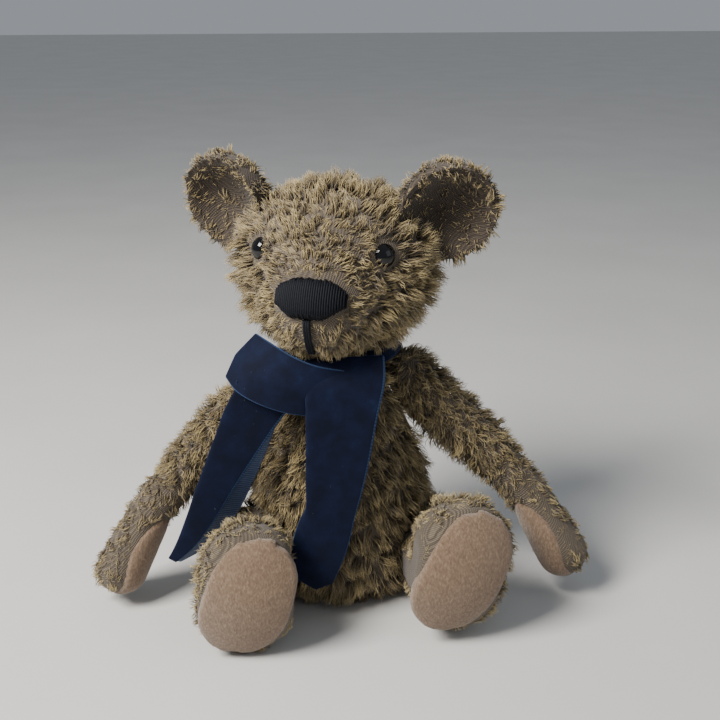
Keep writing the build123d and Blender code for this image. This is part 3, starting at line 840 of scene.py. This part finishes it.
def add_locks(name, root, out, direction, size, bend, curl, number, body):
    count = len(root)
    aside = unit(np.cross(direction, random.normal(size=(count, 3))))
    other = np.cross(direction, aside)
    s = lock_height[None, :, None]
    start = (root - out * 0.35 * mm)[:, None]
    path = start + direction[:, None] * size[:, None, None] * s + bend[:, None] * s**2
    phase = random.uniform(0, 2 * math.pi, count)[:, None, None] + 5.5 * s
    twist = np.sin(phase) * aside[:, None] + np.cos(phase) * other[:, None]
    path = path + (curl * size)[:, None, None] * s * twist
    width = random.uniform(0.12, 0.23, count)[:, None, None] * mm
    taper = np.clip(1 - s, 0, 1) ** 0.7
    around = lock_round[None, :, :1] * aside[:, None] + lock_round[None, :, 1:] * other[:, None]
    points = (path + width * taper * around).reshape(-1, 3)
    points[:, 2] = np.maximum(points[:, 2], 0.05 * mm)
    faces = (lock_faces[None] + (np.arange(count) * len(lock_height))[:, None, None]).reshape(-1)
    mesh = bpy.data.meshes.new(name)
    mesh.vertices.add(len(points))
    mesh.vertices.foreach_set("co", points.astype(np.float32).ravel())
    mesh.loops.add(len(faces))
    mesh.loops.foreach_set("vertex_index", faces.astype(np.int32))
    mesh.polygons.add(len(faces) // 3)
    mesh.polygons.foreach_set("loop_start", np.arange(0, len(faces), 3, dtype=np.int32))
    mesh.update()
    tone = random.normal(0.47, 0.24, number.max() + 1)[number] + random.normal(0, 0.2, count)
    tone = np.clip(tone, 0.02, 0.97)
    corners = lock_faces.reshape(-1)
    across = tone[:, None] + 0.01 * (np.arange(len(corners)) % 3)[None]
    up = np.broadcast_to(np.clip(lock_height[corners], 0.01, 0.99)[None], across.shape)
    places = np.stack([across, up], 2).astype(np.float32)
    mesh.uv_layers.new(name="OFBake").data.foreach_set("uv", places.ravel())
    piece = make_piece(name, mesh, mohair_pile, body)
    print(name, count, "locks,", len(mesh.polygons), "faces")
    return piece


# %% [markdown]
# ### The rules of the pile
# A rule gets the roots' places in pattern millimetres and the way the cloth faces, and gives for each:
# the share that is kept, the length, the lay, how upright it stands and its curl.

# %% Rules for head, body, limbs and ears
def near(values, centre, spread):
    return np.exp(-(((values - centre) / spread) ** 2))


def flat_lay(facing, towards):
    """A direction pressed into the cloth's own plane."""
    towards = np.broadcast_to(np.asarray(towards, float), facing.shape)
    return towards - facing * (towards * facing).sum(1)[:, None]


under_chin = 66.8


def head_rule(place, facing):
    x, z = place[:, 0], place[:, 2]
    ones = np.ones(len(place))
    from_muzzle = np.linalg.norm(place - np.array([0, -24, 80.0]), axis=1)
    length = 3.5 + 2.5 * near(np.abs(x), 21, 8) + 1.6 * near(z, 106, 6)
    length = length * np.clip(0.5 + from_muzzle / 34, 0.6, 1)
    away = unit(place - np.array([0, -26, 84.0]))
    lay = flat_lay(facing, away) * 0.55 + flat_lay(facing, (0, 0, 0.25)) * (z > 95)[:, None]
    share = ones * (z > under_chin)
    return share, length, lay, 0.75 * ones, 0.11 * ones


def joint_frame(joint, sign):
    """A joint's place in pattern millimetres, and the way out of the torso along its pin."""
    centre = (np.array(joints[joint]["pos_m"]) - np.array(middle)) / mm
    axis = np.array(joints[joint]["axis"])
    return centre, axis * np.sign(axis[0]) * sign


def torso_rule(place, facing):
    z = place[:, 2]
    ones = np.ones(len(place))
    share = ones * (np.linalg.norm(place - np.array([0, 0, 66.0]), axis=1) > 9.5)
    lay = flat_lay(facing, (0, 0, -0.55))
    length = 5.6 * ones - 2.0 * (z < 6)
    for side, sign in sides.items():
        for joint in ("shoulder", "hip"):
            centre, axis = joint_frame(f"{side}_{joint}", sign)
            on_flat = (np.abs((place - centre) @ axis) < 1.2) & (facing @ axis > 0.93)
            share = share * np.where(on_flat, 0.0, 1.0)
    return share, length, lay, 0.6 * ones, 0.09 * ones


def limb_rule(joint, down, length, bare_from, bare_share, curl):
    """Pile along a limb: down is the limb's own direction, and the pile thins out past bare_from."""
    centre, axis = joint_frame(joint, 1 if joint.startswith("left") else -1)

    def rule(place, facing):
        ones = np.ones(len(place))
        away = (place - centre) @ axis
        along = (place - centre) @ np.array(down)
        share = np.where((away < 1.0) & (facing @ axis < -0.93), 0.0, 1.0)
        worn = np.clip((along - bare_from) / 14, 0, 1)
        share = share * (1 - worn * (1 - bare_share))
        lay = flat_lay(facing, np.array(down) * 0.55)
        inner = np.clip(away / 4, 0.6, 1)
        return share, length * (1 - 0.45 * worn) * inner, lay, 0.6 * ones, curl * ones
    return rule


def ear_rule(place, facing):
    ones = np.ones(len(place))
    centre = place.mean(0)
    rim = np.linalg.norm((place - centre), axis=1)
    share = np.where(facing[:, 1] < -0.25, 0.42, 0.85) * np.where(rim > 9, 1.4, 0.75)
    lay = flat_lay(facing, unit(place - centre)) * 0.6
    return share, 1.9 * ones + 0.9 * (rim > 10), lay, 0.55 * ones, 0.12 * ones


# %% The coats
def half_rule(rule, axis, sign):
    """The same rule, for one half of the skin."""
    def chosen(place, facing):
        share, *rest = rule(place, facing)
        return (share * (place[:, axis] * sign > 0), *rest)
    return chosen


limb_keys = ["left_arm", "right_arm", "left_leg", "right_leg"]
skin_trees = {key: tree_of([skins[key]]) for key in ("torso", "head", *limb_keys)}
ear_tree = tree_of([skins["left_ear"], skins["right_ear"]])
limbs = [skin_trees[key] for key in limb_keys]
for label, sign in (("left", 1), ("right", -1)):
    coat(f"head_pile_{label}", skins["head"], "head", 24000, half_rule(head_rule, 0, sign), 14,
         [skin_trees["torso"], ear_tree])
for label, sign in (("front", -1), ("back", 1)):
    coat(f"torso_pile_{label}", skins["torso"], "torso", 24000, half_rule(torso_rule, 1, sign), 16,
         [skin_trees["head"], *limbs])
for side, sign in sides.items():
    swing = math.radians(17 if side == "left" else 9)
    down = Vector((sign * math.sin(math.radians(25)), 0, -math.cos(math.radians(25)))) * math.cos(swing)
    down += Vector((0, -1, 0)) * math.sin(swing)
    coat(f"{side}_arm_pile", skins[f"{side}_arm"], f"{side}_arm", 11500,
         limb_rule(f"{side}_shoulder", down, 4.4, 22, 0.42, 0.2), 9,
         [skin_trees["torso"], skin_trees["head"]])
    coat(f"{side}_leg_pile", skins[f"{side}_leg"], f"{side}_leg", 10500,
         limb_rule(f"{side}_hip", (0, -1, 0), 4.4, 22, 0.7, 0.15), 11, [skin_trees["torso"]])
    coat(f"{side}_ear_pile", skins[f"{side}_ear"], "head", 4200, ear_rule, 7, [skin_trees["head"]])

# %% [markdown]
# ## The stage, the light and the camera
# A pale plain floor, one soft key from the upper left, a weak fill from the right and an even sky. The
# camera stands a little to the bear's right and looks down at it.

# %% Stage, lights and camera
bm = bmesh.new()
bmesh.ops.create_grid(bm, x_segments=1, y_segments=1, size=3)
floor = bpy.data.objects.new("floor", mesh_from(bm, "floor"))
bpy.context.scene.collection.objects.link(floor)
pale = Finish("pale_floor", 0.8)
floor_grain = pale.noise(pale.object_place(), 60 * mm)
pale.paint(pale.ramp(floor_grain, [(0.3, (0.60, 0.59, 0.57)), (0.7, (0.64, 0.63, 0.61))]))
floor.data.materials.append(pale.material)

aim = spot(5.3, -0.8, 59.8)


def direction(azimuth, elevation):
    azimuth, elevation = math.radians(azimuth), math.radians(elevation)
    return Vector((math.sin(azimuth) * math.cos(elevation), -math.cos(azimuth) * math.cos(elevation),
                   math.sin(elevation)))


def soft_light(name, azimuth, elevation, distance, size, power, colour):
    lamp = bpy.data.lights.new(name, "AREA")
    lamp.energy, lamp.size, lamp.color = power, size, colour
    light = bpy.data.objects.new(name, lamp)
    light.location = aim + direction(azimuth, elevation) * distance
    light.rotation_euler = direction(azimuth, elevation).to_track_quat("Z", "Y").to_euler()
    bpy.context.scene.collection.objects.link(light)


soft_light("key", -60, 44, 0.50, 0.20, 5.4, (1.0, 0.97, 0.92))
soft_light("fill", 55, 25, 0.60, 0.40, 0.35, (0.90, 0.95, 1.0))
world = bpy.context.scene.world or bpy.data.worlds.new("sky")
bpy.context.scene.world = world
world.use_nodes = True
sky = world.node_tree.nodes["Background"]
sky.inputs["Color"].default_value = (0.86, 0.92, 1.0, 1)
sky.inputs["Strength"].default_value = 0.34

camera_data = bpy.data.cameras.new("camera")
camera_data.lens = 52.25
camera_data.clip_start = 0.01
camera = bpy.data.objects.new("camera", camera_data)
camera.location = aim + direction(-7, 20) * 0.262
camera.rotation_euler = direction(-7, 20).to_track_quat("Z", "Y").to_euler()
bpy.context.scene.collection.objects.link(camera)
bpy.context.scene.camera = camera
print("camera at", [round(c / mm) for c in camera.location], "mm")

# %% [markdown]
# ## The ribbon's right side
# The ribbon's right side lies in the way of the right arm when it swings forwards, where real velvet would
# just be pushed aside. Here the right tail and the fold only have their thickness and softening applied into
# meshes of their own.

# %% The right tail and the fold get their modifiers applied
for piece in (right_tail, wrap):
    depsgraph = bpy.context.evaluated_depsgraph_get()
    piece.data = bpy.data.meshes.new_from_object(piece.evaluated_get(depsgraph))
    piece.modifiers.clear()
    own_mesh(piece)
